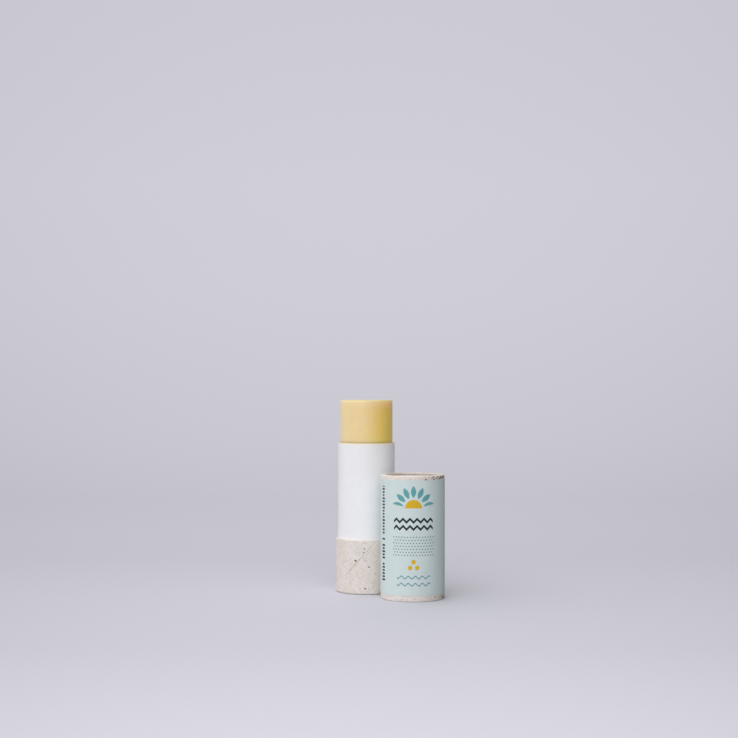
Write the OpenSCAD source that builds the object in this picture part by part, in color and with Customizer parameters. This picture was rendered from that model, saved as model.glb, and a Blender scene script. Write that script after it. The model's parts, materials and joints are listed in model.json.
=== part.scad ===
/* [Inner tube] */
// Height of the tube's rim above the table
tube_rim_z = 57.0; // [45:0.1:80]
// Outside diameter of the tube, over its white paper
tube_d = 21.8; // [16:0.1:40]
// Thickness of the tube's white outer paper
tube_wrap_t = 0.15; // [0.1:0.01:0.3]
// Thickness of the tube's wound board
tube_board_t = 0.55; // [0.4:0.01:1.5]
// Thickness of the greaseproof paper that lines the tube
tube_lining_t = 0.10; // [0.08:0.01:0.3]
// Rounding of the tube's rim
rim_round = 0.12; // [0.05:0.01:0.14]

/* [Base sleeve] */
// Height of the sleeve
sleeve_h = 20.4; // [12:0.1:40]
// Thickness of the sleeve's outer plies of grass paper
sleeve_grass_t = 0.55; // [0.4:0.01:1.5]
// Thickness of the sleeve's inner ply of plain board
sleeve_board_t = 0.25; // [0.15:0.01:1]
// Rounding of the sleeve's cut top edge
sleeve_edge_round = 0.15; // [0.05:0.01:0.25]
// How far the curled foot reaches in past the tube's bore
foot_reach = 0.9; // [0.5:0.05:3]
// Height of the curled foot, on which the tube stands
foot_h = 2.0; // [1.6:0.1:4]
// Rounding of the foot's outer corner
foot_outer_round = 0.8; // [0.3:0.05:1.2]
// Rounding of the foot's inner corner
foot_inner_round = 0.4; // [0.2:0.05:1]

/* [Pusher] */
// Height of the pusher's paper ring
ring_h = 8.0; // [4:0.1:14]
// Wall of the pusher's paper ring
ring_t = 0.8; // [0.5:0.05:2]
// Thickness of the pusher's board disc
disc_t = 1.2; // [0.8:0.1:3]
// Thickness of the greaseproof disc under the balm
facing_t = 0.15; // [0.1:0.01:0.4]
// Radial clearance of the pusher and the balm in the tube
pusher_clear = 0.05; // [0.02:0.01:0.1]

/* [Balm] */
// Length of the balm
balm_h = 45.0; // [25:0.1:60]
// How far the balm stands out of the tube as stored
balm_out = 16.4; // [2:0.1:24]
// Rounding of the balm's top edge
balm_round = 0.4; // [0.1:0.05:2]

/* [Cap] */
// Height of the cap
cap_h = 46.0; // [44:0.1:70]
// Radial clearance of the cap on the tube
cap_clear = 0.10; // [0.05:0.01:0.3]
// Thickness of the cap's white lining paper
cap_lining_t = 0.12; // [0.08:0.01:0.3]
// Thickness of the cap's inner ply of plain board
cap_board_t = 0.23; // [0.15:0.01:1]
// Thickness of the cap's outer plies of grass paper
cap_grass_t = 0.55; // [0.4:0.01:1.5]
// Rounding of the cap's cut mouth edge
mouth_round = 0.15; // [0.05:0.01:0.3]
// Depth of the recess in the cap's top, down to its end disc
recess_depth = 1.0; // [0.6:0.05:3]
// Width of the curled rim round the recess
curl_w = 2.0; // [1.4:0.05:3]
// Rounding of the curled rim's outer corner
curl_outer_round = 0.7; // [0.3:0.05:1.2]
// Rounding of the curled rim's inner corner
curl_inner_round = 0.4; // [0.2:0.05:0.6]
// Thickness of the cap's end disc of board
end_disc_t = 1.2; // [0.8:0.1:3]
// Thickness of the grass paper on the end disc
end_facing_t = 0.15; // [0.1:0.01:0.4]
// Thickness of the white paper under the end disc
end_lining_t = 0.12; // [0.1:0.01:0.4]

/* [Cap label] */
// Thickness of the label
label_t = 0.10; // [0.05:0.01:0.3]
// Height of the label's lower edge above the cap's mouth
label_foot = 2.2; // [0.5:0.1:6]
// Grass paper left bare between the label and the cap's top
label_head = 1.6; // [1.3:0.1:6]
// Gap between the label's two ends, at the back of the cap
label_gap = 0.8; // [0.3:0.1:4]

/* [Cap beside the stick] */
// Gap between the base sleeve and the cap that stands beside it
cap_gap = 1.12; // [0.3:0.01:60]
// Bearing of the cap from the stick, turned from the right towards the front, in degrees
cap_bearing = 46.1; // [0:0.1:90]

/* [Hidden] */
$fn = 96;
ARC_STEPS = 6;
// how far a cutting solid runs past what it cuts
CUT_OVER = 1;

// The plies of the stick are laid outwards and inwards from the tube's outside.
tube_r = tube_d / 2;
tube_board_r = tube_r - tube_wrap_t;
tube_lining_r = tube_board_r - tube_board_t;
tube_bore_r = tube_lining_r - tube_lining_t;
sleeve_board_r = tube_r + sleeve_board_t;
sleeve_r = sleeve_board_r + sleeve_grass_t;
finger_hole_r = tube_bore_r - foot_reach;

// The balm sets where the pusher is, because it is cast onto it.
pusher_r = tube_bore_r - pusher_clear;
balm_top_z = tube_rim_z + balm_out;
balm_z = balm_top_z - balm_h;
ring_top_z = balm_z - facing_t;
ring_z = ring_top_z - ring_h;
disc_r = pusher_r - ring_t;

// The plies of the cap are laid outwards from a bore that runs on the tube.
cap_bore_r = tube_r + cap_clear;
cap_lining_r = cap_bore_r + cap_lining_t;
cap_board_r = cap_lining_r + cap_board_t;
cap_r = cap_board_r + cap_grass_t;
label_r = cap_r + label_t;
end_facing_z = cap_h - recess_depth - end_facing_t;
end_disc_z = end_facing_z - end_disc_t;
end_lining_z = end_disc_z - end_lining_t;
label_h = cap_h - label_foot - label_head;

// The cap stands on the table beside the stick, clear of it.
cap_distance = sleeve_r + cap_gap + label_r;
cap_x = cap_distance * cos(cap_bearing);
cap_y = -cap_distance * sin(cap_bearing);

// Points of a quarter circle of radius r about [x, z], from angle a over 90 degrees times turn.
function arc(x, z, r, a, turn = 1) = [
  for (i = [0 : ARC_STEPS]) [
    x + r * cos(a + turn * 90 * i / ARC_STEPS),
    z + r * sin(a + turn * 90 * i / ARC_STEPS)
  ]
];

// A plain ring from r_in to r_out, standing on z.
module ring(r_in, r_out, z, h) {
  rotate_extrude()
    translate([r_in, z]) square([r_out - r_in, h]);
}

// A wall that ends in an inward curl at the bottom, whose outside corners are rounded.
module curled_wall(r_in, r_out, r_hole, h, curl_h, outer_round, inner_round, edge_round) {
  rotate_extrude()
    polygon(concat(
      [[r_in, h]],
      [[r_in, curl_h], [r_hole, curl_h]],
      arc(r_hole + inner_round, inner_round, inner_round, 180),
      arc(r_out - outer_round, outer_round, outer_round, 270),
      arc(r_out - edge_round, h - edge_round, edge_round, 0)
    ));
}

module on_cap() {
  translate([cap_x, cap_y, 0]) children();
}

// Base sleeve: outer grass plies, curled in under the tube as a foot round the finger hole.
module base_sleeve() {
  color([0.84, 0.81, 0.79])
    curled_wall(
      sleeve_board_r, sleeve_r, finger_hole_r, sleeve_h, foot_h,
      foot_outer_round, foot_inner_round, sleeve_edge_round
    );
}

// Plain board ply between the grass plies and the tube.
module sleeve_board() {
  color([0.78, 0.74, 0.68])
    ring(tube_r, sleeve_board_r, foot_h, sleeve_h - foot_h);
}

// Wound board of the inner tube, which stands on the curled foot.
module inner_tube() {
  color([0.86, 0.85, 0.83])
    ring(tube_lining_r, tube_board_r, foot_h, tube_rim_z - foot_h);
}

// White outer paper of the inner tube.
module tube_wrap() {
  color([0.92, 0.92, 0.93])
    rotate_extrude()
      polygon(concat(
        [[tube_board_r, foot_h], [tube_r, foot_h]],
        arc(tube_r - rim_round, tube_rim_z - rim_round, rim_round, 0),
        [[tube_board_r, tube_rim_z]]
      ));
}

// Greaseproof lining, the bore that the pusher and the balm slide in.
module tube_lining() {
  color([0.90, 0.88, 0.84])
    ring(tube_bore_r, tube_lining_r, foot_h, tube_rim_z - foot_h);
}

// Paper ring that keeps the pusher square in the tube.
module pusher_ring() {
  color([0.88, 0.86, 0.82])
    ring(disc_r, pusher_r, ring_z, ring_h);
}

// Board disc glued into the top of the ring, pushed by a fingertip.
module pusher_disc() {
  color([0.78, 0.74, 0.68])
    translate([0, 0, ring_top_z - disc_t]) cylinder(r = disc_r, h = disc_t);
}

// Greaseproof disc between the pusher and the balm.
module pusher_facing() {
  color([0.90, 0.88, 0.84])
    translate([0, 0, ring_top_z]) cylinder(r = pusher_r, h = facing_t);
}

// Stick of balm with a flat top.
module balm_stick() {
  color([0.88, 0.80, 0.58])
    rotate_extrude()
      polygon(concat(
        [[0, balm_z], [pusher_r, balm_z]],
        arc(pusher_r - balm_round, balm_top_z - balm_round, balm_round, 0),
        [[0, balm_top_z]]
      ));
}

// Cap wall: outer grass plies, curled in at the top over the end disc.
module cap_tube() {
  color([0.84, 0.81, 0.79])
    on_cap()
      translate([0, 0, cap_h])
        mirror([0, 0, 1])
          curled_wall(
            cap_board_r, cap_r, cap_r - curl_w, cap_h, recess_depth,
            curl_outer_round, curl_inner_round, mouth_round
          );
}

// Plain board ply of the cap, whose top edge carries the end disc.
module cap_board() {
  color([0.78, 0.74, 0.68])
    on_cap() ring(cap_lining_r, cap_board_r, 0, end_disc_z);
}

// White lining paper, the bore that runs on the tube.
module cap_lining() {
  color([0.92, 0.92, 0.92])
    on_cap() ring(cap_bore_r, cap_lining_r, 0, end_lining_z);
}

// Board disc held between the curl and the board ply.
module cap_end_disc() {
  color([0.78, 0.74, 0.68])
    on_cap() translate([0, 0, end_disc_z]) cylinder(r = cap_board_r, h = end_disc_t);
}

// Grass paper on the end disc, the floor of the recess.
module cap_end_facing() {
  color([0.84, 0.81, 0.79])
    on_cap() translate([0, 0, end_facing_z]) cylinder(r = cap_board_r, h = end_facing_t);
}

// White paper under the end disc, the ceiling of the cap.
module cap_end_lining() {
  color([0.92, 0.92, 0.92])
    on_cap() translate([0, 0, end_lining_z]) cylinder(r = cap_lining_r, h = end_lining_t);
}

// Paper label round the cap, with its two ends apart at the back.
module cap_label() {
  color([0.76, 0.83, 0.84])
    on_cap()
      difference() {
        ring(cap_r, label_r, label_foot, label_h);
        translate([-label_gap / 2, 0, label_foot - CUT_OVER])
          cube([label_gap, label_r + CUT_OVER, label_h + 2 * CUT_OVER]);
      }
}

base_sleeve();
sleeve_board();
inner_tube();
tube_wrap();
tube_lining();
pusher_ring();
pusher_disc();
pusher_facing();
balm_stick();
cap_tube();
cap_board();
cap_lining();
cap_end_disc();
cap_end_facing();
cap_end_lining();
cap_label();
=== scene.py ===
"""A push-up paper lip balm stick with its cap taken off, standing on a plain pale table."""
import json
import math

import bpy
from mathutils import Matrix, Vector, noise


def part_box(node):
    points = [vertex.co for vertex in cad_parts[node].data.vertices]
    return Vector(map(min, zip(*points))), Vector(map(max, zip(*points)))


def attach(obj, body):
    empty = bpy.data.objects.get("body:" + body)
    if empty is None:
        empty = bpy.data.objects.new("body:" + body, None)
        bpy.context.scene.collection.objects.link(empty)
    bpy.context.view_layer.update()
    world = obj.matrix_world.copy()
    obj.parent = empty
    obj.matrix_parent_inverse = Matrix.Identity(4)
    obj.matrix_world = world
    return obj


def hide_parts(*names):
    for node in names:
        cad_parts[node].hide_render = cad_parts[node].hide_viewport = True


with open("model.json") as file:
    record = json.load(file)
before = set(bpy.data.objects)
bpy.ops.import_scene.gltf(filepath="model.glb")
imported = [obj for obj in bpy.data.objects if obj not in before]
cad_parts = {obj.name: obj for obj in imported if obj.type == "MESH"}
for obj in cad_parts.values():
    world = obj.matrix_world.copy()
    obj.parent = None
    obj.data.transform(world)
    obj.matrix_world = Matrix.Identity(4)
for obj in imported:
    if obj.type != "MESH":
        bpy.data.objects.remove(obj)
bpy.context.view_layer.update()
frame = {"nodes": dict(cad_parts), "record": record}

MM = 0.001
TURN = 2 * math.pi

# What the imported record says of the mounts' radii.
MOUNT_RADII = {mount["name"]: mount["dims"].get("r_mm") for mount in frame["record"]["mounts"]}


# Sizes, in metres, taken from the frame.
def radius_of(node):
    lo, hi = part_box(node)
    return (hi.x - lo.x) / 2


def axis_of(node):
    lo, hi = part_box(node)
    return (lo.x + hi.x) / 2, (lo.y + hi.y) / 2


STICK_AXIS = (0.0, 0.0)
CAP_AXIS = axis_of("cap_tube")
SLEEVE_R = radius_of("base_sleeve")
SLEEVE_INNER_R = radius_of("sleeve_board")
SLEEVE_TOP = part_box("base_sleeve")[1].z
FOOT_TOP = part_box("sleeve_board")[0].z
FINGER_HOLE_R = MOUNT_RADII["finger_hole"] * MM
TUBE_R = radius_of("tube_wrap")
TUBE_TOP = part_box("tube_wrap")[1].z
BALM_R = radius_of("balm_stick")
BALM_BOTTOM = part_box("balm_stick")[0].z
BALM_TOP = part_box("balm_stick")[1].z
CAP_R = radius_of("cap_tube")
CAP_INNER_R = radius_of("cap_board")
CAP_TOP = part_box("cap_tube")[1].z
CAP_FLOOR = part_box("cap_end_facing")[1].z
LABEL_R = radius_of("cap_label")

# Roundings that the frame's boxes don't give, in metres.
FOOT_OUTER_ROUND = 0.6 * MM
FOOT_INNER_ROUND = 0.4 * MM
CURL_WIDTH = 2.0 * MM
CURL_OUTER_ROUND = 0.7 * MM
CURL_INNER_ROUND = 0.4 * MM
CUT_EDGE_ROUND = 0.15 * MM
MOUTH_ROUND = 0.30 * MM
CURL_UNDERCUT = 0.55 * MM
BALM_EDGE_ROUND = 0.45 * MM


def linear(red, green, blue):
    """A colour given as 0 to 255, as a shader wants it."""
    def channel(value):
        value /= 255
        return value / 12.92 if value <= 0.04045 else ((value + 0.055) / 1.055) ** 2.4
    return channel(red), channel(green), channel(blue), 1.0


class Graph:
    """The nodes of one tree. Each helper adds nodes and returns the socket that holds its result."""

    def __init__(self, tree):
        self.nodes = tree.nodes
        self.links = tree.links

    def put(self, socket, value):
        if isinstance(value, bpy.types.NodeSocket):
            self.links.new(value, socket)
        else:
            socket.default_value = value

    def add(self, kind, *values, **settings):
        """A node of that kind, with its settings made and its first inputs filled."""
        node = self.nodes.new("ShaderNode" + kind)
        for setting, value in settings.items():
            setattr(node, setting, value)
        for socket, value in zip(node.inputs, values):
            self.put(socket, value)
        return node

    def fill(self, node, **inputs):
        """Fills inputs by their names in Blender, and returns the node."""
        for name, value in inputs.items():
            self.put(node.inputs[name], value)
        return node

    def math(self, operation, *values, clamp=False):
        return self.add("Math", *values, operation=operation, use_clamp=clamp).outputs[0]

    def times(self, result, *others):
        for value in others:
            result = self.math("MULTIPLY", result, value)
        return result

    def minus(self, first, second):
        return self.math("SUBTRACT", first, second)

    def most(self, first, second):
        return self.math("MAXIMUM", first, second)

    def gap(self, value, centre):
        """How far a value is from a centre, to either side."""
        return self.math("ABSOLUTE", self.minus(value, centre))

    def vector(self, operation, *values, scale=None):
        node = self.add("VectorMath", *values, operation=operation)
        if scale is not None:
            self.put(node.inputs["Scale"], scale)
        single = operation in ("LENGTH", "DOT_PRODUCT")
        return node.outputs["Value" if single else "Vector"]

    def split(self, vector):
        return self.add("SeparateXYZ", vector).outputs

    def flat(self, across, height):
        """A place on a plane."""
        return self.add("CombineXYZ", across, height).outputs[0]

    def distance(self, across, height):
        return self.vector("LENGTH", self.flat(across, height))

    def ramp(self, value, low, high, to_low=0.0, to_high=1.0):
        """A smooth step from to_low at low to to_high at high."""
        node = self.add("MapRange", value, low, high, to_low, to_high, interpolation_type="SMOOTHSTEP")
        return node.outputs[0]

    def mix(self, share, first, second):
        """A colour, or a place, between two."""
        node = self.add("Mix", data_type="RGBA")
        # a Mix node has a set of sockets for each data type; 6, 7 and output 2 are the colours
        for index, value in ((0, share), (6, first), (7, second)):
            self.put(node.inputs[index], value)
        return node.outputs[2]

    def blend(self, share, first, second):
        """A mix of two shaders."""
        return self.add("MixShader", share, first, second).outputs[0]

    def seen(self):
        """1 for the rays that show the pale background: from the camera, off a gloss or through glass."""
        rays = self.add("LightPath").outputs
        direct = self.most(rays["Is Camera Ray"], rays["Is Glossy Ray"])
        return self.most(direct, rays["Is Transmission Ray"])


class Shader(Graph):
    """One procedural material. Places and sizes are in millimetres, and tints go from 0 to 255."""

    def __init__(self, name, specular):
        self.material = bpy.data.materials.new(name)
        self.material.use_nodes = True
        super().__init__(self.material.node_tree)
        self.surface = self.nodes["Principled BSDF"]
        self.set("Specular IOR Level", specular)
        self.point = self.vector("SCALE", self.add("TexCoord").outputs["Object"], scale=1 / MM)
        self.color = None

    def set(self, socket, value):
        self.put(self.surface.inputs[socket], value)

    def start(self, first, second, share):
        """Starts the colour as a mix of two tints."""
        self.color = self.mix(share, linear(*first), linear(*second))

    def paint(self, tint, *masks):
        """Lays a tint over the colour so far, as strongly as the product of the masks says."""
        self.color = self.mix(self.times(*masks), self.color, linear(*tint))

    def noise(self, scale, detail=2.0, roughness=0.5, shift=0.0, place=None):
        """Noise of so many features a millimetre. shift moves it, so that two calls differ."""
        moved = self.vector("ADD", place or self.point, (shift, 1.7 * shift, -shift))
        node = self.add("TexNoise")
        self.fill(node, Vector=moved, Scale=scale, Detail=detail, Roughness=roughness)
        return node.outputs["Fac"]

    def patches(self, low, high, *noise_values):
        """Soft patches: 0 where a noise is under low, 1 where it is over high."""
        return self.ramp(self.noise(*noise_values), low, high)

    def threads(self, scale, width, shift, share=0.5):
        """Thin curved fibres: the middle level of a noise, broken up by a second one."""
        level = self.gap(self.noise(scale, 1.0, shift=shift), 0.5)
        line = self.ramp(level, 0.0, width, 1.0, 0.0)
        patch = self.ramp(self.noise(scale * 1.3, 1.0, shift=shift + 31), 1 - share, 1.08 - share)
        return self.times(line, patch)

    def wandering(self, place, scale, reach):
        """A place that strays by up to reach, so that straight patterns on it bend."""
        drift = self.fill(self.add("TexNoise"), Vector=place, Scale=scale).outputs["Color"]
        return self.vector("ADD", place, self.vector("SCALE", drift, scale=reach))

    def cells(self, place, scale, share, dimensions="3D"):
        """A Voronoi pattern: distance from a cell's middle, its luck, and 1 in that share of the cells."""
        node = self.fill(self.add("TexVoronoi", voronoi_dimensions=dimensions), Vector=place, Scale=scale)
        luck = self.add("SeparateColor", node.outputs["Color"]).outputs
        return node.outputs["Distance"], luck[1], self.math("LESS_THAN", luck[0], share)

    def flecks(self, scale, size, share, shift, stretch=(1, 1, 1)):
        """Scattered specks of up to size, in the given share of cells."""
        moved = self.vector("ADD", self.wandering(self.point, 1.5, 0.5), (shift, shift, shift))
        distance, luck, chosen = self.cells(self.vector("MULTIPLY", moved, stretch), scale, share)
        return self.times(chosen, self.math("LESS_THAN", distance, self.times(luck, size * scale)))

    def blades(self, place, angle, length, width, share):
        """Scattered slivers of one length and width, all near one angle in degrees."""
        turn = self.add("VectorRotate", rotation_type="Z_AXIS")
        self.fill(turn, Vector=self.wandering(place, 0.35, 1.6), Angle=math.radians(angle))
        spread = self.vector("MULTIPLY", turn.outputs[0], (1 / length, 0.3 / width, 1.0))
        moved = self.vector("ADD", spread, (angle, angle, 0))
        distance, luck, chosen = self.cells(moved, 1.0, share, "2D")
        edge = self.minus(distance, self.math("MULTIPLY_ADD", luck, 0.14, 0.08))
        return self.times(chosen, self.ramp(edge, -0.05, 0.03, 1.0, 0.0))

    def around(self, axis, radius):
        """(millimetres round a tube from its front, to the right; millimetres above the table)."""
        x, y, z = self.split(self.point)
        right = self.minus(x, axis[0] / MM)
        front = self.minus(axis[1] / MM, y)
        return self.times(self.math("ARCTAN2", right, front), radius / MM), z

    def outward(self, axis):
        """How far a place is from an upright axis."""
        centre = self.vector("SUBTRACT", self.point, (axis[0] / MM, axis[1] / MM, 0.0))
        return self.vector("LENGTH", self.vector("MULTIPLY", centre, (1.0, 1.0, 0.0)))

    def upward(self):
        """How far a face looks up, from -1 to 1."""
        return self.split(self.add("TexCoord").outputs["Normal"])[2]

    def unrolled(self, across, height):
        """A tube's side rolled out flat, while level faces keep their own x and y, and 1 on level faces."""
        level = self.math("GREATER_THAN", self.math("ABSOLUTE", self.upward()), 0.7)
        return self.mix(level, self.flat(across, height), self.point), level

    def seam(self, across, height, radius, slope, start, width):
        """The narrow spiral line where one turn of a tube's outer ply meets the next."""
        pitch = slope * TURN * radius / MM
        along = self.minus(self.minus(height, self.times(across, slope)), start)
        wrapped = self.math("WRAP", along, pitch / 2, -pitch / 2)
        return self.ramp(self.math("ABSOLUTE", wrapped), 0.0, width * math.hypot(1, slope), 1.0, 0.0)

    def finish(self, *heights):
        """Sets the colour, and the bump from heights of (value, depth in millimetres)."""
        self.set("Base Color", self.color)
        normal = None
        for value, depth in heights:
            node = self.fill(self.add("Bump"), Strength=1.0, Distance=depth * MM, Height=value)
            if normal:
                self.put(node.inputs["Normal"], normal)
            normal = node.outputs[0]
        self.set("Normal", normal)
        return self.material


# How glossy bare paper and board are.
PAPER_SPECULAR = 0.12

# Grass in the paper: angle, length, width, share of places, tint and how strongly it shows.
GRASS_BLADES = (
    (25, 2.2, 0.16, 0.20, (150, 142, 112), 0.28),
    (-38, 1.8, 0.18, 0.18, (170, 150, 122), 0.28),
    (72, 2.6, 0.14, 0.16, (132, 128, 106), 0.28),
    (112, 1.6, 0.20, 0.18, (182, 166, 132), 0.30),
    (-70, 2.0, 0.16, 0.12, (116, 100, 82), 0.38),
)

# The grass paper's join, in mm. It shows best at one height, fades beyond a reach from there, and keeps
# at least a share of its strength.
JOIN_SLOPE, JOIN_WIDTH = 1.12, 0.20
JOIN_CLEAREST, JOIN_REACH, JOIN_LEAST = 13.0, 3.8, 0.12


def grass_paper(name, axis, radius, join_start, marks, crease):
    """Off-white paper with chopped grass in it.

    marks are (round, up, size, darkness) of single bits, and crease is the (radius, height) of the inner
    corner where a curl turns under, all in mm.
    """
    paper = Shader(name, PAPER_SPECULAR)
    paper.set("Roughness", 0.88)
    across, height = paper.around(axis, radius)
    place, level = paper.unrolled(across, height)
    upright = paper.minus(1.0, level)

    # cloudy pulp with pits, and pale and dark fibres
    paper.start((232, 224, 220), (228, 219, 210), paper.patches(0.35, 0.65, 0.25, 3.0, 0.6, 3))
    paper.paint((206, 194, 180), paper.patches(0.50, 0.72, 1.3, 3.0, 0.6, 9), 0.55)
    paper.paint((186, 172, 156), paper.patches(0.60, 0.74, 2.6, 2.0, 0.6, 29), 0.40)
    raised = paper.threads(0.8, 0.014, 40, 0.5)
    paper.paint((246, 240, 234), raised, 0.60)
    sunk = paper.threads(0.6, 0.014, 17, 0.48)
    paper.paint((168, 154, 136), sunk, 0.55)

    # grass, chaff and dark bits
    blades = 0.0
    for angle, length, width, share, tint, strength in GRASS_BLADES:
        blade = paper.blades(place, angle, length, width, share)
        paper.paint(tint, blade, strength)
        blades = paper.most(blades, blade)
    paper.paint((158, 142, 116), paper.flecks(0.9, 0.30, 0.20, 5, (1.0, 1.0, 1.6)), 0.32)
    dark = paper.flecks(0.42, 0.34, 0.12, 23, (1.5, 1.5, 1.0))
    ragged = paper.math("MULTIPLY_ADD", paper.noise(2.2, 3.0, 0.7, 66), 1.6, 0.2)
    for round_mm, up_mm, size, darkness in marks:
        offset = paper.vector("SUBTRACT", paper.flat(across, height), (round_mm, up_mm, 0.0))
        near = paper.vector("LENGTH", paper.vector("MULTIPLY", offset, (1.0, 1.5, 1.0)))
        mark = paper.ramp(paper.times(near, ragged), 0.42 * size, 0.60 * size, darkness, 0.0)
        dark = paper.most(dark, paper.times(upright, mark))
    paper.paint((62, 50, 44), dark, 0.92)

    # the join, pressed flat towards the tube's ends
    join = paper.seam(across, height, radius, JOIN_SLOPE, join_start, JOIN_WIDTH)
    worn = paper.ramp(paper.gap(height, JOIN_CLEAREST), JOIN_REACH, 2 * JOIN_REACH, 1.0, JOIN_LEAST)
    join = paper.times(join, worn, upright)
    paper.paint((150, 138, 124), join, 0.50)

    # painted shade along the edge that stands on the table and in the corner under the curl
    painted_foot_shade = paper.ramp(height, 0.05, 0.40, 0.06, 0.0)
    corner = paper.distance(paper.minus(paper.outward(axis), crease[0]), paper.minus(height, crease[1]))
    painted_crease_shade = paper.ramp(corner, 0.15, 1.9, 0.24, 0.0)
    paper.paint((112, 98, 84), paper.most(painted_foot_shade, painted_crease_shade))

    lumps, grain = paper.noise(1.8, 4.0, 0.6, 51), paper.noise(8.0, 2.0, 0.6, 12)
    fibres = paper.minus(raised, sunk)
    return paper.finish((lumps, 0.10), (grain, 0.03), (fibres, 0.05), (blades, 0.03), (join, -0.08))


# The white paper's join, in mm, and how far below a rim its yellow tint begins to show and is there in
# full: painted reflected light from the balm, and some oil drawn up into the paper.
WHITE_JOIN_SLOPE, WHITE_JOIN_START, WHITE_JOIN_WIDTH = 1.15, -0.6, 0.08
RIM_TINT_FROM, RIM_TINT_FULL = 0.65, 0.15


def white_paper(name, axis, radius, tint, roughness, tinted_rim=None):
    """Smooth coated paper with a very faint cloudiness and fine fibres.

    The rim height is that in mm of an edge that looks yellower: painted reflected light from the balm, and
    some oil drawn up into the paper.
    """
    paper = Shader(name, 0.8)
    paper.set("Roughness", roughness)
    across, height = paper.around(axis, radius)
    shade = [channel * 0.992 for channel in tint]
    paper.start(tint, shade, paper.patches(0.35, 0.7, 0.3, 3.0, 0.6, 8))
    fibres = paper.threads(1.6, 0.014, 63, 0.4)
    paper.paint((214, 212, 210), fibres, 0.06)
    join = paper.seam(across, height, radius, WHITE_JOIN_SLOPE, WHITE_JOIN_START, WHITE_JOIN_WIDTH)
    paper.paint((190, 188, 186), join, 0.25)
    if tinted_rim:
        # painted reflected light from the balm, and some oil in the paper, make it yellower below the rim
        bounce_and_oil = paper.ramp(height, tinted_rim - RIM_TINT_FROM, tinted_rim - RIM_TINT_FULL)
        paper.paint((252, 236, 198), bounce_and_oil, 0.8)
    return paper.finish((paper.noise(3.0, 3.0, 0.5, 77), 0.004), (fibres, 0.003), (join, -0.03))


def plain_board(name):
    """Recycled board as its cut edges show it: greyish, layered and a little fluffy."""
    paper = Shader(name, PAPER_SPECULAR)
    paper.set("Roughness", 0.92)
    paper.start((212, 203, 190), (190, 179, 163), paper.patches(0.35, 0.7, 1.2, 4.0, 0.65, 6))
    fibres = paper.threads(1.8, 0.02, 45, 0.5)
    paper.paint((232, 226, 216), fibres, 0.4)
    paper.paint((120, 108, 94), paper.flecks(1.6, 0.16, 0.14, 15), 0.5)
    return paper.finish((paper.noise(4.0, 5.0, 0.7, 29), 0.06), (fibres, 0.02))


def greaseproof_paper(name):
    """Dense translucent paper with a slight shine and a few balm-soaked patches."""
    paper = Shader(name, 0.45)
    soaked = paper.patches(0.45, 0.75, 0.22, 3.0, 0.6, 19)
    paper.set("Roughness", paper.ramp(soaked, 0.0, 1.0, 0.55, 0.3))
    paper.start((238, 234, 226), (228, 216, 186), soaked)
    return paper.finish((paper.noise(2.0, 3.0, 0.5, 37), 0.02))


# The balm's painted light: the way its paler, lit side faces, to the left of the front, and how far below
# the top it is paler too, in mm.
LIT_SIDE_TURN = math.radians(55)
PALE_TOP_REACH = 5.0
# How near another surface has to be for the painted shade beside it to show.
NEAR_SHADE_REACH = 1.5 * MM
# How wide the drag marks are for their length.
STREAK_WIDTH = 0.06


def balm_material(name):
    """Oil and beeswax: translucent yellow with cloudy crystals, drag marks up the side and a soft sheen."""
    wax = Shader(name, 1.0)
    wax.set("IOR", 1.5)
    wax.set("Subsurface Radius", (1.0, 0.65, 0.25))
    wax.set("Subsurface Scale", 4.0 * MM)
    wax.set("Coat Weight", 0.6)
    wax.set("Coat Roughness", 0.45)
    wax.set("Roughness", wax.ramp(wax.noise(0.6, 3.0, 0.6, 90), 0.3, 0.7, 0.44, 0.58))
    across, height = wax.around(STICK_AXIS, BALM_R)

    # painted light and shade: paler on the side that faces the light, deep clear yellow on the shaded side
    # opposite, and paler along the top edge
    towards = (-math.sin(LIT_SIDE_TURN) * MM / BALM_R, -math.cos(LIT_SIDE_TURN) * MM / BALM_R, 0.0)
    side = wax.ramp(wax.vector("DOT_PRODUCT", wax.point, towards), -0.55, 1.0)
    edge = wax.ramp(height, BALM_TOP / MM - PALE_TOP_REACH, BALM_TOP / MM)
    patchy = wax.math("MULTIPLY_ADD", wax.noise(0.25, 4.0, 0.6, 14), 0.5, -0.25)
    lit_side_and_pale_top = wax.math("ADD", wax.math("MULTIPLY_ADD", edge, 0.25, side), patchy, clamp=True)
    wax.start((253, 211, 24), (235, 212, 154), lit_side_and_pale_top)
    wax.paint((232, 214, 182), edge, 0.35)

    # milky patches, drag marks and grit
    wax.paint((244, 226, 170), wax.patches(0.52, 0.75, 0.5, 5.0, 0.7, 33), 0.25)
    streaks = wax.noise(1.4, 3.0, 0.6, 0, wax.flat(across, wax.times(height, STREAK_WIDTH)))
    wax.paint((234, 200, 88), wax.ramp(streaks, 0.5, 0.75), 0.25)
    wax.paint((250, 236, 200), wax.flecks(2.2, 0.10, 0.10, 61), 0.3)

    # painted shade: faces that look up are darker, against the light that falls on the top
    wax.paint((208, 190, 146), wax.ramp(wax.upward(), 0.02, 0.60), 0.85)

    # painted shade: where another surface is very near, as at the tube's mouth, the wax is darker and has
    # no subsurface scattering
    openness = wax.fill(wax.add("AmbientOcclusion", samples=8), Distance=NEAR_SHADE_REACH).outputs["AO"]
    near_shade = wax.ramp(openness, 0.60, 0.97, 1.0, 0.0)
    wax.paint((176, 146, 92), near_shade, 0.75)
    wax.set("Subsurface Weight", wax.minus(1.0, near_shade))

    dents, grain = wax.noise(1.1, 4.0, 0.6, 55), wax.noise(7.0, 2.0, 0.5, 2)
    return wax.finish((streaks, 0.03), (dents, 0.03), (grain, 0.006))


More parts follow.
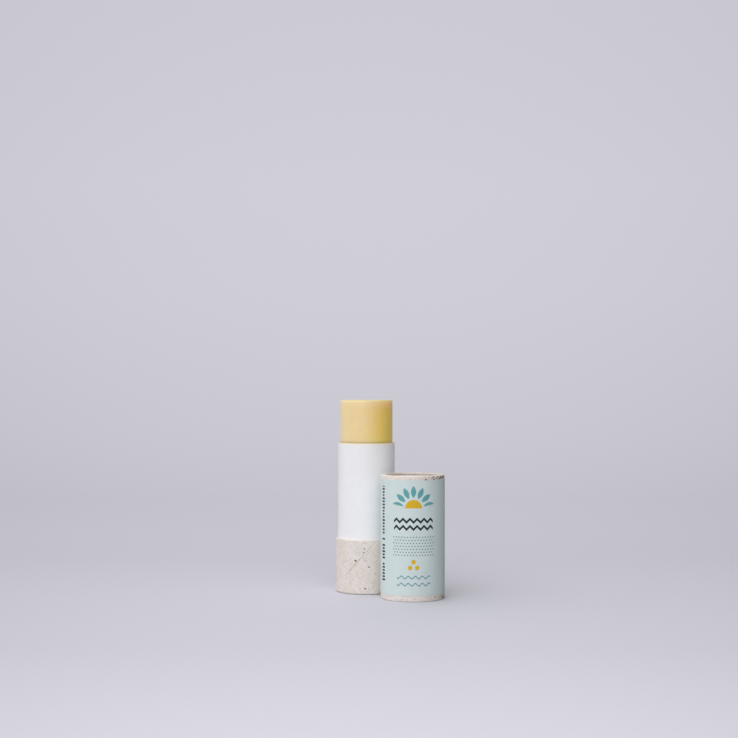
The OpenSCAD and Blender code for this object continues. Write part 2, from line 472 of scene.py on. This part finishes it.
# The print on the label, in millimetres across from its middle and up from the table.
TEAL, OCHRE, INK = (98, 163, 166), (219, 178, 30), (26, 36, 48)
GREY_INK, PALE_TEAL = (104, 122, 138), (118, 160, 166)
SUN_AT, SUN_R = 34.2, 3.1
RAY_START, RAY_LENGTH, RAY_HALF = 3.8, 4.4, 0.95
RAY_STEP, RAY_SPREAD = math.radians(26), math.radians(80)
ZIGZAG_AT, ZIGZAG_HALF, ZIGZAG_RISE, ZIGZAG_PITCH, ZIGZAG_STROKE = (29.7, 27.1), 7.6, 1.3, 2.6, 0.50
DOTS_FROM, DOTS_TO, DOTS_HALF, DOT_PITCH, DOT_R = 16.9, 24.6, 8.0, 1.1, 0.24
DROPS, DROP_R = ((-1.3, 12.5), (1.3, 12.5), (0.0, 14.6)), 0.85
WAVES_AT, WAVE_HALF, WAVE_RISE, WAVE_PITCH, WAVE_STROKE = (9.0, 6.4), 6.4, 0.45, 2.6, 0.26
TICKS_AT, TICKS_FROM, TICKS_TO = -13.5, 6.9, 42.0
TICK_PITCH, TICK_HALF, TICK_GAP = 1.15, 1.05, 0.45
TICKS_MISSING = 0.12
INK_EDGE = 0.05


def within(paper, value, limit):
    """1 where the distance is under the limit, with a soft edge as ink has."""
    return paper.ramp(value, limit - INK_EDGE, limit + INK_EDGE, 1.0, 0.0)


# Each part of the print is a function. For every thing it prints, it yields a tint and then the masks
# that bound it.
def sun(paper, across, height):
    """A half sun, and rays that taper to both ends."""
    rise = paper.minus(height, SUN_AT)
    reach = paper.distance(across, rise)
    yield OCHRE, within(paper, reach, SUN_R), paper.ramp(rise, -INK_EDGE, INK_EDGE)
    turn = paper.math("ARCTAN2", across, rise)
    nearest = paper.times(paper.math("ROUND", paper.math("DIVIDE", turn, RAY_STEP)), RAY_STEP)
    aslant = paper.minus(turn, nearest)
    outwards = paper.times(reach, paper.math("COSINE", aslant))
    along = paper.math("DIVIDE", paper.minus(outwards, RAY_START), RAY_LENGTH)
    aside = paper.math("ABSOLUTE", paper.times(reach, paper.math("SINE", aslant)))
    bulge = paper.times(along, paper.minus(1.0, along), 4 * RAY_HALF)
    fan = within(paper, paper.math("ABSOLUTE", turn), RAY_SPREAD)
    yield TEAL, within(paper, paper.minus(aside, bulge), 0.0), fan


def zigzags(paper, across, height):
    """Two bold zigzags."""
    teeth = paper.times(paper.math("PINGPONG", across, ZIGZAG_PITCH / 2), 2 * ZIGZAG_RISE / ZIGZAG_PITCH)
    span = within(paper, paper.math("ABSOLUTE", across), ZIGZAG_HALF)
    for up in ZIGZAG_AT:
        line = paper.gap(paper.minus(height, teeth), up - ZIGZAG_RISE / 2)
        yield INK, within(paper, line, ZIGZAG_STROKE), span


def dots(paper, across, height):
    """A field of small dots in staggered rows."""
    row = paper.math("FLOOR", paper.math("DIVIDE", height, DOT_PITCH))
    shifted = paper.math("ADD", across, paper.times(paper.math("PINGPONG", row, 1.0), DOT_PITCH / 2))
    dot_x = paper.minus(paper.math("FRACT", paper.math("DIVIDE", shifted, DOT_PITCH)), 0.5)
    dot_y = paper.minus(paper.math("FRACT", paper.math("DIVIDE", height, DOT_PITCH)), 0.5)
    dot = within(paper, paper.times(paper.distance(dot_x, dot_y), DOT_PITCH), DOT_R)
    row_foot = paper.times(row, DOT_PITCH)
    over = paper.math("GREATER_THAN", row_foot, DOTS_FROM - DOT_PITCH)
    under = paper.math("LESS_THAN", row_foot, DOTS_TO - DOT_PITCH)
    yield GREY_INK, dot, over, under, paper.math("LESS_THAN", paper.math("ABSOLUTE", across), DOTS_HALF)


def drops(paper, across, height):
    """Three drops."""
    for right, up in DROPS:
        reach = paper.distance(paper.minus(across, right), paper.minus(height, up))
        yield OCHRE, within(paper, reach, DROP_R)


def waves(paper, across, height):
    """Two waves."""
    swell = paper.times(paper.math("SINE", paper.times(across, TURN / WAVE_PITCH)), WAVE_RISE)
    span = within(paper, paper.math("ABSOLUTE", across), WAVE_HALF)
    for up in WAVES_AT:
        yield PALE_TEAL, within(paper, paper.gap(paper.minus(height, swell), up), WAVE_STROKE), span


def ticks(paper, across, height):
    """A column of ticks up the left side, of uneven length, with a gap here and there."""
    count = paper.math("DIVIDE", height, TICK_PITCH)
    dice = paper.fill(paper.add("TexWhiteNoise", noise_dimensions="1D"), W=paper.math("FLOOR", count))
    luck = dice.outputs["Value"]
    half_width = paper.times(paper.math("MULTIPLY_ADD", luck, 0.6, 0.5), TICK_HALF)
    width = within(paper, paper.minus(paper.gap(across, TICKS_AT), half_width), 0.0)
    from_middle = paper.gap(paper.math("FRACT", count), 0.5)
    thickness = paper.ramp(from_middle, 0.5 - TICK_GAP / 2, 0.54 - TICK_GAP / 2, 1.0, 0.0)
    there = paper.math("GREATER_THAN", luck, TICKS_MISSING)
    column = within(paper, paper.gap(height, (TICKS_FROM + TICKS_TO) / 2), (TICKS_TO - TICKS_FROM) / 2)
    yield INK, width, thickness, there, column


def label_paper(name):
    """Pale blue-green paper with a plain print."""
    paper = Shader(name, PAPER_SPECULAR)
    paper.set("Roughness", 0.7)
    across, height = paper.around(CAP_AXIS, LABEL_R)
    paper.start((209, 222, 222), (206, 219, 219), paper.patches(0.35, 0.7, 0.3, 3.0, 0.6, 4))
    fibres = paper.threads(1.5, 0.014, 27, 0.4)
    paper.paint((186, 198, 202), fibres, 0.10)
    cover = paper.ramp(paper.noise(5.0, 2.0, 0.6, 99), 0.25, 0.4, 0.86, 0.98)
    for draw in (sun, zigzags, dots, drops, waves, ticks):
        for tint, *masks in draw(paper, across, height):
            paper.paint(tint, *masks, cover)
    return paper.finish((paper.noise(2.6, 4.0, 0.6, 70), 0.008), (fibres, 0.004))


# Single bits in the grass paper that stand out: mm round from the front, mm up, size in mm, darkness.
SLEEVE_MARKS = (
    (-4.2, 12.8, 0.85, 1.0), (1.0, 10.5, 0.62, 1.0), (-0.4, 2.3, 0.75, 0.9), (-9.4, 12.2, 0.45, 1.0),
    (-1.1, 15.9, 0.58, 0.9), (-0.7, 17.3, 0.60, 0.9), (6.1, 15.4, 0.50, 1.0), (7.2, 9.0, 0.45, 1.0),
    (-6.3, 4.4, 0.40, 1.0),
)
# most of the cap's bits are straw, paler than the dark ones; the last seven are at its mouth
CAP_MARKS = (
    (4.4, 45.4, 0.45, 0.7), (4.7, 44.6, 0.75, 1.0), (5.2, 44.7, 0.35, 0.6), (5.7, 45.3, 0.40, 0.5),
    (7.1, 44.8, 0.42, 0.7), (7.8, 45.2, 1.10, 0.60), (8.3, 45.7, 0.50, 0.8), (8.3, 44.6, 0.75, 1.0),
    (9.6, 45.0, 0.90, 0.6), (9.8, 45.7, 0.50, 0.9), (10.6, 45.4, 0.80, 0.7), (11.2, 44.7, 0.65, 1.0),
    (11.8, 45.0, 1.20, 0.7), (12.2, 45.6, 0.80, 0.8), (12.9, 44.9, 0.90, 0.9), (13.8, 45.3, 1.20, 0.8),
    (14.6, 44.8, 0.90, 0.9), (15.4, 45.4, 1.10, 0.7),
    (8.8, 1.5, 0.55, 0.8), (11.0, 1.2, 0.60, 0.7), (12.2, 1.8, 0.50, 0.9), (7.2, 0.7, 0.40, 0.7),
    (13.2, 1.1, 1.00, 0.8), (14.4, 0.8, 1.20, 0.8), (15.3, 1.6, 0.90, 0.7),
)
# (radius, height) of the inner corner where each curl turns under, in mm
SLEEVE_CREASE = (FINGER_HOLE_R / MM, FOOT_TOP / MM)
CAP_CREASE = ((CAP_R - CURL_WIDTH) / MM, CAP_FLOOR / MM)

sleeve_paper = grass_paper("GrassPaperSleeve", STICK_AXIS, SLEEVE_R, 16.2, SLEEVE_MARKS, SLEEVE_CREASE)
cap_paper = grass_paper("GrassPaperCap", CAP_AXIS, CAP_R, 40.0, CAP_MARKS, CAP_CREASE)
tube_paper = white_paper("WhitePaperTube", STICK_AXIS, TUBE_R, (240, 240, 242), 0.36, TUBE_TOP / MM)
lining_paper = white_paper("WhitePaperCapLining", CAP_AXIS, CAP_INNER_R, (238, 237, 234), 1.0)
board = plain_board("PlainBoard")
greaseproof = greaseproof_paper("GreaseproofPaper")
label = label_paper("LabelPaper")
balm = balm_material("Balm")

# Modelled pieces: turned shapes whose paper and balm are a little uneven.
SEGMENTS = 288
ARC_STEPS = 8
SHARP_ANGLE = math.radians(50)
# a point of an outline nearer to the axis than this stays one point when it is turned
ON_AXIS = 1e-7


def arc(x, z, r, start):
    """Points of a quarter circle about (x, z), anticlockwise from a start angle in degrees."""
    steps = [math.radians(start + 90 * i / ARC_STEPS) for i in range(ARC_STEPS + 1)]
    return [(x + r * math.cos(a), z + r * math.sin(a)) for a in steps]


def straight(start, end, step):
    """Points from start towards end, about step apart, without the end itself."""
    count = max(1, round(math.dist(start, end) / step))
    return [
        (start[0] + (end[0] - start[0]) * i / count, start[1] + (end[1] - start[1]) * i / count)
        for i in range(count)
    ]


def wave_round(angle, height, scale, seed):
    """Noise that runs smoothly round a tube, from -1 to 1. Each seed gives another one."""
    return noise.noise(Vector((math.cos(angle) * scale, math.sin(angle) * scale, height + 7.3 * seed)))


def ring_faces(rings, closed):
    """The faces between neighbouring rings of vertex numbers. A ring of one number is a point."""
    faces = []
    for near, far in zip(rings, rings[1:] + rings[:1] if closed else rings[1:]):
        for i in range(SEGMENTS):
            j = (i + 1) % SEGMENTS
            if len(near) == 1:
                faces.append((near[0], far[i], far[j]))
            elif len(far) == 1:
                faces.append((near[j], near[i], far[0]))
            else:
                faces.append((near[j], near[i], far[i], far[j]))
    return faces


def turned(name, profile, axis, body, node, material, uneven, closed=True):
    """A profile of (r, z) turned about an upright axis. uneven(angle, r, z) moves each point a little."""
    verts, rings = [], []
    for r, z in profile:
        if r < ON_AXIS:
            rings.append([len(verts)])
            verts.append((axis[0], axis[1], uneven(0.0, 0.0, z)[1]))
            continue
        rings.append(range(len(verts), len(verts) + SEGMENTS))
        for i in range(SEGMENTS):
            angle = TURN * i / SEGMENTS
            moved_r, moved_z = uneven(angle, r, z)
            x, y = axis[0] + moved_r * math.sin(angle), axis[1] - moved_r * math.cos(angle)
            verts.append((x, y, moved_z))
    mesh = bpy.data.meshes.new(name)
    mesh.from_pydata(verts, [], ring_faces(rings, closed))
    mesh.shade_smooth()
    mesh.set_sharp_from_angle(angle=SHARP_ANGLE)
    mesh.materials.append(material)
    piece = bpy.data.objects.new(name, mesh)
    bpy.context.scene.collection.objects.link(piece)
    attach(piece, body)
    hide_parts(node)


# How far apart the points of a tube wall's outline are: up the bore, across the curl, down its lip
# where it is undercut, and up the outside.
BORE_STEP, CURL_STEP, LIP_STEP, SIDE_STEP = 1.5 * MM, 0.3 * MM, 0.1 * MM, 0.5 * MM


def curled_profile(inner_r, outer_r, hole_r, cut_z, curl_z, end_z, rounds, undercut=0.0):
    """The closed outline of a tube wall whose far end is curled inwards, for either way up.

    rounds are those of the curl's outer and inner edge and of the cut edge. undercut is how far the
    curl draws back under its own lip.
    """
    outer_round, inner_round, cut_round = rounds
    height, lip = abs(cut_z - end_z), abs(curl_z - end_z)
    outline = straight((inner_r, height), (inner_r, lip), BORE_STEP)
    outline += straight((inner_r, lip), (hole_r + undercut, lip), CURL_STEP)
    if undercut:
        outline += arc(hole_r + undercut, lip - undercut, undercut, 90)
        outline += straight((hole_r, lip - undercut), (hole_r, inner_round), LIP_STEP)[1:]
    else:
        outline += straight((hole_r, lip), (hole_r, inner_round), CURL_STEP)
    outline += arc(hole_r + inner_round, inner_round, inner_round, 180)
    outline += straight((hole_r + inner_round, 0), (outer_r - outer_round, 0), CURL_STEP)[1:]
    outline += arc(outer_r - outer_round, outer_round, outer_round, 270)
    outline += straight((outer_r, outer_round), (outer_r, height - cut_round), SIDE_STEP)[1:]
    outline += arc(outer_r - cut_round, height - cut_round, cut_round, 0)
    up = 1 if cut_z > end_z else -1
    return [(r, end_z + up * z) for r, z in outline][::up]


# The curl's folds: how deep and how closely set they are, and how far they reach along the tube.
CRIMP_DEPTH, CRIMP_SCALE, CRIMP_REACH = 0.07 * MM, 9.0, 3 * MM
# The broad folds' share of the depth, with the rest in fine ones, and how far a fold spreads outwards
# for its depth.
BROAD_SHARE, CRIMP_SPREAD = 0.7, 0.6
# How deep and how closely set the waves of the cut edge are.
RIM_WAVE, RIM_SCALE = 0.03 * MM, 6.0


def crimped(hole_r, end_z, up, cut_z, seed):
    """Small folds in the curl, deepest at the hole, and a slightly wavy cut edge."""
    def uneven(angle, r, z):
        if (z - end_z) * up < CRIMP_REACH and r < hole_r + CURL_WIDTH:
            share = 1 - (r - hole_r) / CURL_WIDTH
            broad = 0.5 + 0.5 * wave_round(angle, 0.0, CRIMP_SCALE, seed)
            fine = 0.5 + 0.5 * wave_round(angle, 1.0, 3 * CRIMP_SCALE, seed)
            drop = share * CRIMP_DEPTH * (BROAD_SHARE * broad + (1 - BROAD_SHARE) * fine)
            return r + CRIMP_SPREAD * drop, z + up * drop
        if abs(z - cut_z) < CUT_EDGE_ROUND:
            return r, z - up * RIM_WAVE * (0.5 + 0.5 * wave_round(angle, 2.0, RIM_SCALE, seed))
        return r, z
    return uneven


turned(
    "sleeve_wall",
    curled_profile(
        SLEEVE_INNER_R, SLEEVE_R, FINGER_HOLE_R, SLEEVE_TOP, FOOT_TOP, 0.0,
        (FOOT_OUTER_ROUND, FOOT_INNER_ROUND, CUT_EDGE_ROUND),
    ),
    STICK_AXIS, "tube", "base_sleeve", sleeve_paper,
    crimped(FINGER_HOLE_R, 0.0, 1, SLEEVE_TOP, 1),
)
turned(
    "cap_wall",
    curled_profile(
        CAP_INNER_R, CAP_R, CAP_R - CURL_WIDTH, 0.0, CAP_FLOOR, CAP_TOP,
        (CURL_OUTER_ROUND, CURL_INNER_ROUND, MOUTH_ROUND), CURL_UNDERCUT,
    ),
    CAP_AXIS, "cap", "cap_tube", cap_paper,
    crimped(CAP_R - CURL_WIDTH, CAP_TOP, -1, 0.0, 2),
)

# The balm was poured: its side carries drag marks, and its top sank and rippled a little as it set. What
# sank reaches out to a share of the radius.
BALM_DIP, SUNK_SHARE = 0.30 * MM, 0.97
RIPPLE_DEPTH, RIPPLE_SCALE = 0.05 * MM, 3
DRAG_DEPTH, DRAG_SCALE, DRAG_LENGTH = 0.035 * MM, 14.0, 25 * MM
# How far apart the points of its outline are, up the side and across the top.
BALM_SIDE_STEP, BALM_TOP_STEP = 0.6 * MM, 0.5 * MM


def balm_surface(angle, r, z):
    share = r / BALM_R
    if z > BALM_TOP - BALM_EDGE_ROUND and share < SUNK_SHARE:
        out = share * RIPPLE_SCALE
        ripple = 0.5 + 0.5 * noise.noise(Vector((out * math.cos(angle), out * math.sin(angle), 5.1)))
        return r, z - BALM_DIP * (1 - share ** 2) ** 1.5 - RIPPLE_DEPTH * ripple * (1 - share ** 4)
    drag = 0.5 + 0.5 * wave_round(angle, z / DRAG_LENGTH, DRAG_SCALE, 3)
    return r - DRAG_DEPTH * drag, z


balm_flat_r, balm_side_top = BALM_R - BALM_EDGE_ROUND, BALM_TOP - BALM_EDGE_ROUND
balm_outline = [(0.0, BALM_BOTTOM), (BALM_R, BALM_BOTTOM)]
balm_outline += straight((BALM_R, BALM_BOTTOM), (BALM_R, balm_side_top), BALM_SIDE_STEP)[1:]
balm_outline += arc(balm_flat_r, balm_side_top, BALM_EDGE_ROUND, 0)
balm_outline += straight((balm_flat_r, BALM_TOP), (0.0, BALM_TOP), BALM_TOP_STEP)[1:]
balm_outline.append((0.0, BALM_TOP))
turned("balm", balm_outline, STICK_AXIS, "pusher", "balm_stick", balm, balm_surface, closed=False)

# The nodes that show their own shape take these materials.
NODE_MATERIALS = {
    "sleeve_board": board, "inner_tube": board, "pusher_disc": board, "cap_board": board,
    "cap_end_disc": board, "tube_wrap": tube_paper, "tube_lining": greaseproof,
    "pusher_facing": greaseproof, "pusher_ring": tube_paper, "cap_lining": lining_paper,
    "cap_end_lining": lining_paper, "cap_end_facing": cap_paper, "cap_label": label,
}
for node, material in NODE_MATERIALS.items():
    for slot in frame["nodes"][node].material_slots:
        slot.material = material

# Table and backdrop: one sheet that curves up behind the stick. Near the stick it is a plain matt floor.
# Further back it glows in its own colour to the rays that see it, and the light from the world passes
# through it. In metres.
SHEET_HALF_WIDTH, SHEET_FRONT, SHEET_STEP = 3.0, -3.0, 0.15
CURVE_START, CURVE_R, CURVE_STEPS, SHEET_TOP = 0.30, 0.8, 24, 3.0
GLOW_FROM, GLOW_FULL = 0.18, 0.40
# (metres back along the sheet, its red as seen by the camera), which is painted light and shade: lightest
# in front, darkest where the sheet starts to curve up, lighter again up the wall
SHEET_SHADES = (
    (-0.25, 223), (-0.19, 217), (-0.12, 209), (-0.02, 205), (0.10, 198),
    (0.38, 197), (0.60, 202), (0.95, 207), (1.20, 208), (1.56, 204),
)
# how much its green and blue differ from its red
SHEET_GREEN, SHEET_BLUE = -1, 8
# how bright the floor is to the camera, and the share of that which it throws back on the object
FLOOR_GAIN, FLOOR_BOUNCE = 1.03, 0.55
# how fast it darkens to both sides, the most that it does, and how far in front this is measured from
FALLOFF, FALLOFF_MOST, FALLOFF_FROM = 0.96, 0.2, 0.545


def sheet_outline():
    points = straight((SHEET_FRONT, 0.0), (CURVE_START, 0.0), SHEET_STEP)
    bend = [math.radians(90 * i / CURVE_STEPS) for i in range(CURVE_STEPS + 1)]
    points += [(CURVE_START + CURVE_R * math.sin(a), CURVE_R * (1 - math.cos(a))) for a in bend]
    return points + [(CURVE_START + CURVE_R, SHEET_TOP)]


def sheet_material():
    sheet = Shader("Backdrop", 0.15)
    sheet.set("Roughness", 0.6)
    x, y, z = sheet.split(sheet.point)
    along = sheet.times(sheet.math("ADD", y, z), MM)
    first, last = SHEET_SHADES[0][0], SHEET_SHADES[-1][0]
    share = sheet.math("DIVIDE", sheet.minus(along, first), last - first, clamp=True)
    shades = sheet.add("ValToRGB", share)
    stops = shades.color_ramp.elements
    while len(stops) < len(SHEET_SHADES):
        stops.new(0.5)
    for stop, (at, red) in zip(stops, SHEET_SHADES):
        stop.position = (at - first) / (last - first)
        stop.color = linear(red, red + SHEET_GREEN, red + SHEET_BLUE)
    # the light falls off a little to both sides
    side = sheet.math("DIVIDE", sheet.times(x, MM), sheet.math("ADD", along, FALLOFF_FROM))
    loss = sheet.math("MINIMUM", sheet.times(side, side, FALLOFF), FALLOFF_MOST)
    seen_color = sheet.vector("SCALE", shades.outputs[0], scale=sheet.minus(1.0, loss))
    # what is seen is brighter than what the floor throws back on the object
    seen = sheet.seen()
    gain = sheet.times(sheet.math("MULTIPLY_ADD", seen, 1 - FLOOR_BOUNCE, FLOOR_BOUNCE), FLOOR_GAIN)
    sheet.set("Base Color", sheet.vector("SCALE", seen_color, scale=gain))
    glow = sheet.add("Emission", seen_color).outputs[0]
    clear = sheet.add("BsdfTransparent").outputs[0]
    wall = sheet.blend(seen, clear, glow)
    shown = sheet.blend(sheet.ramp(along, GLOW_FROM, GLOW_FULL), sheet.surface.outputs[0], wall)
    sheet.put(sheet.nodes["Material Output"].inputs["Surface"], shown)
    sheet.material.cycles.emission_sampling = "NONE"
    return sheet.material


def make_sheet():
    outline = sheet_outline()
    verts = [(side * SHEET_HALF_WIDTH, y, z) for y, z in outline for side in (-1, 1)]
    faces = [(2 * i, 2 * i + 1, 2 * i + 3, 2 * i + 2) for i in range(len(outline) - 1)]
    mesh = bpy.data.meshes.new("backdrop")
    mesh.from_pydata(verts, [], faces)
    mesh.shade_smooth()
    mesh.materials.append(sheet_material())
    sheet = bpy.data.objects.new("backdrop", mesh)
    bpy.context.scene.collection.objects.link(sheet)


make_sheet()

# Light from the world alone: a soft glow from the front and above, a broad one from the left, and a weak
# one from behind and above. Each is (degrees to the right of the front, degrees up, strength, tightness,
# tint as shares of white).
GLOWS = (
    (-11, 32, 2.72, 13.9, (1.0, 1.0, 1.01)),
    (-95, 15, 0.94, 2.0, (1.0, 1.0, 1.0)),
    (-160, 53, 0.54, 4.0, (1.0, 1.0, 0.98)),
)
# The pale background, where rays miss the sheet.
BACKDROP_SEEN = linear(206, 205, 213)


def make_light():
    world = bpy.data.worlds.new("Studio")
    bpy.context.scene.world = world
    world.use_nodes = True
    sky = Graph(world.node_tree)
    direction = sky.add("TexCoord").outputs["Generated"]
    light = (0.0, 0.0, 0.0)
    for turn, rise, strength, tightness, tint in GLOWS:
        turn, rise = math.radians(turn), math.radians(rise)
        towards = (math.sin(turn) * math.cos(rise), -math.cos(turn) * math.cos(rise), math.sin(rise))
        facing = sky.math("MULTIPLY_ADD", sky.vector("DOT_PRODUCT", direction, towards), 0.5, 0.5)
        glow = sky.math("POWER", facing, tightness)
        light = sky.vector("MULTIPLY_ADD", glow, [strength * channel for channel in tint], light)
    lighting = sky.nodes["Background"]
    sky.put(lighting.inputs["Color"], light)
    background = sky.add("Background", BACKDROP_SEEN)
    shown = sky.blend(sky.seen(), lighting.outputs[0], background.outputs[0])
    sky.put(sky.nodes["World Output"].inputs["Surface"], shown)


make_light()

# Camera: level, and matched to the photograph's edges. Distances in metres.
CAMERA_AT = (0.00098, -0.54479, 0.07938)
PICTURE_PX, FOCAL_PX, HORIZON_PX = 738, 1414.0, 384.4
SENSOR_MM = 36.0
CLIP_NEAR, CLIP_FAR = 0.01, 20.0


def make_camera():
    data = bpy.data.cameras.new("Camera")
    data.sensor_width = SENSOR_MM
    data.lens = FOCAL_PX / PICTURE_PX * SENSOR_MM
    data.shift_y = (HORIZON_PX - PICTURE_PX / 2) / PICTURE_PX
    data.clip_start = CLIP_NEAR
    data.clip_end = CLIP_FAR
    camera = bpy.data.objects.new("Camera", data)
    camera.location = CAMERA_AT
    camera.rotation_euler = (math.radians(90), 0.0, 0.0)
    bpy.context.scene.collection.objects.link(camera)
    bpy.context.scene.camera = camera


make_camera()
bpy.context.scene.view_settings.view_transform = "Standard"
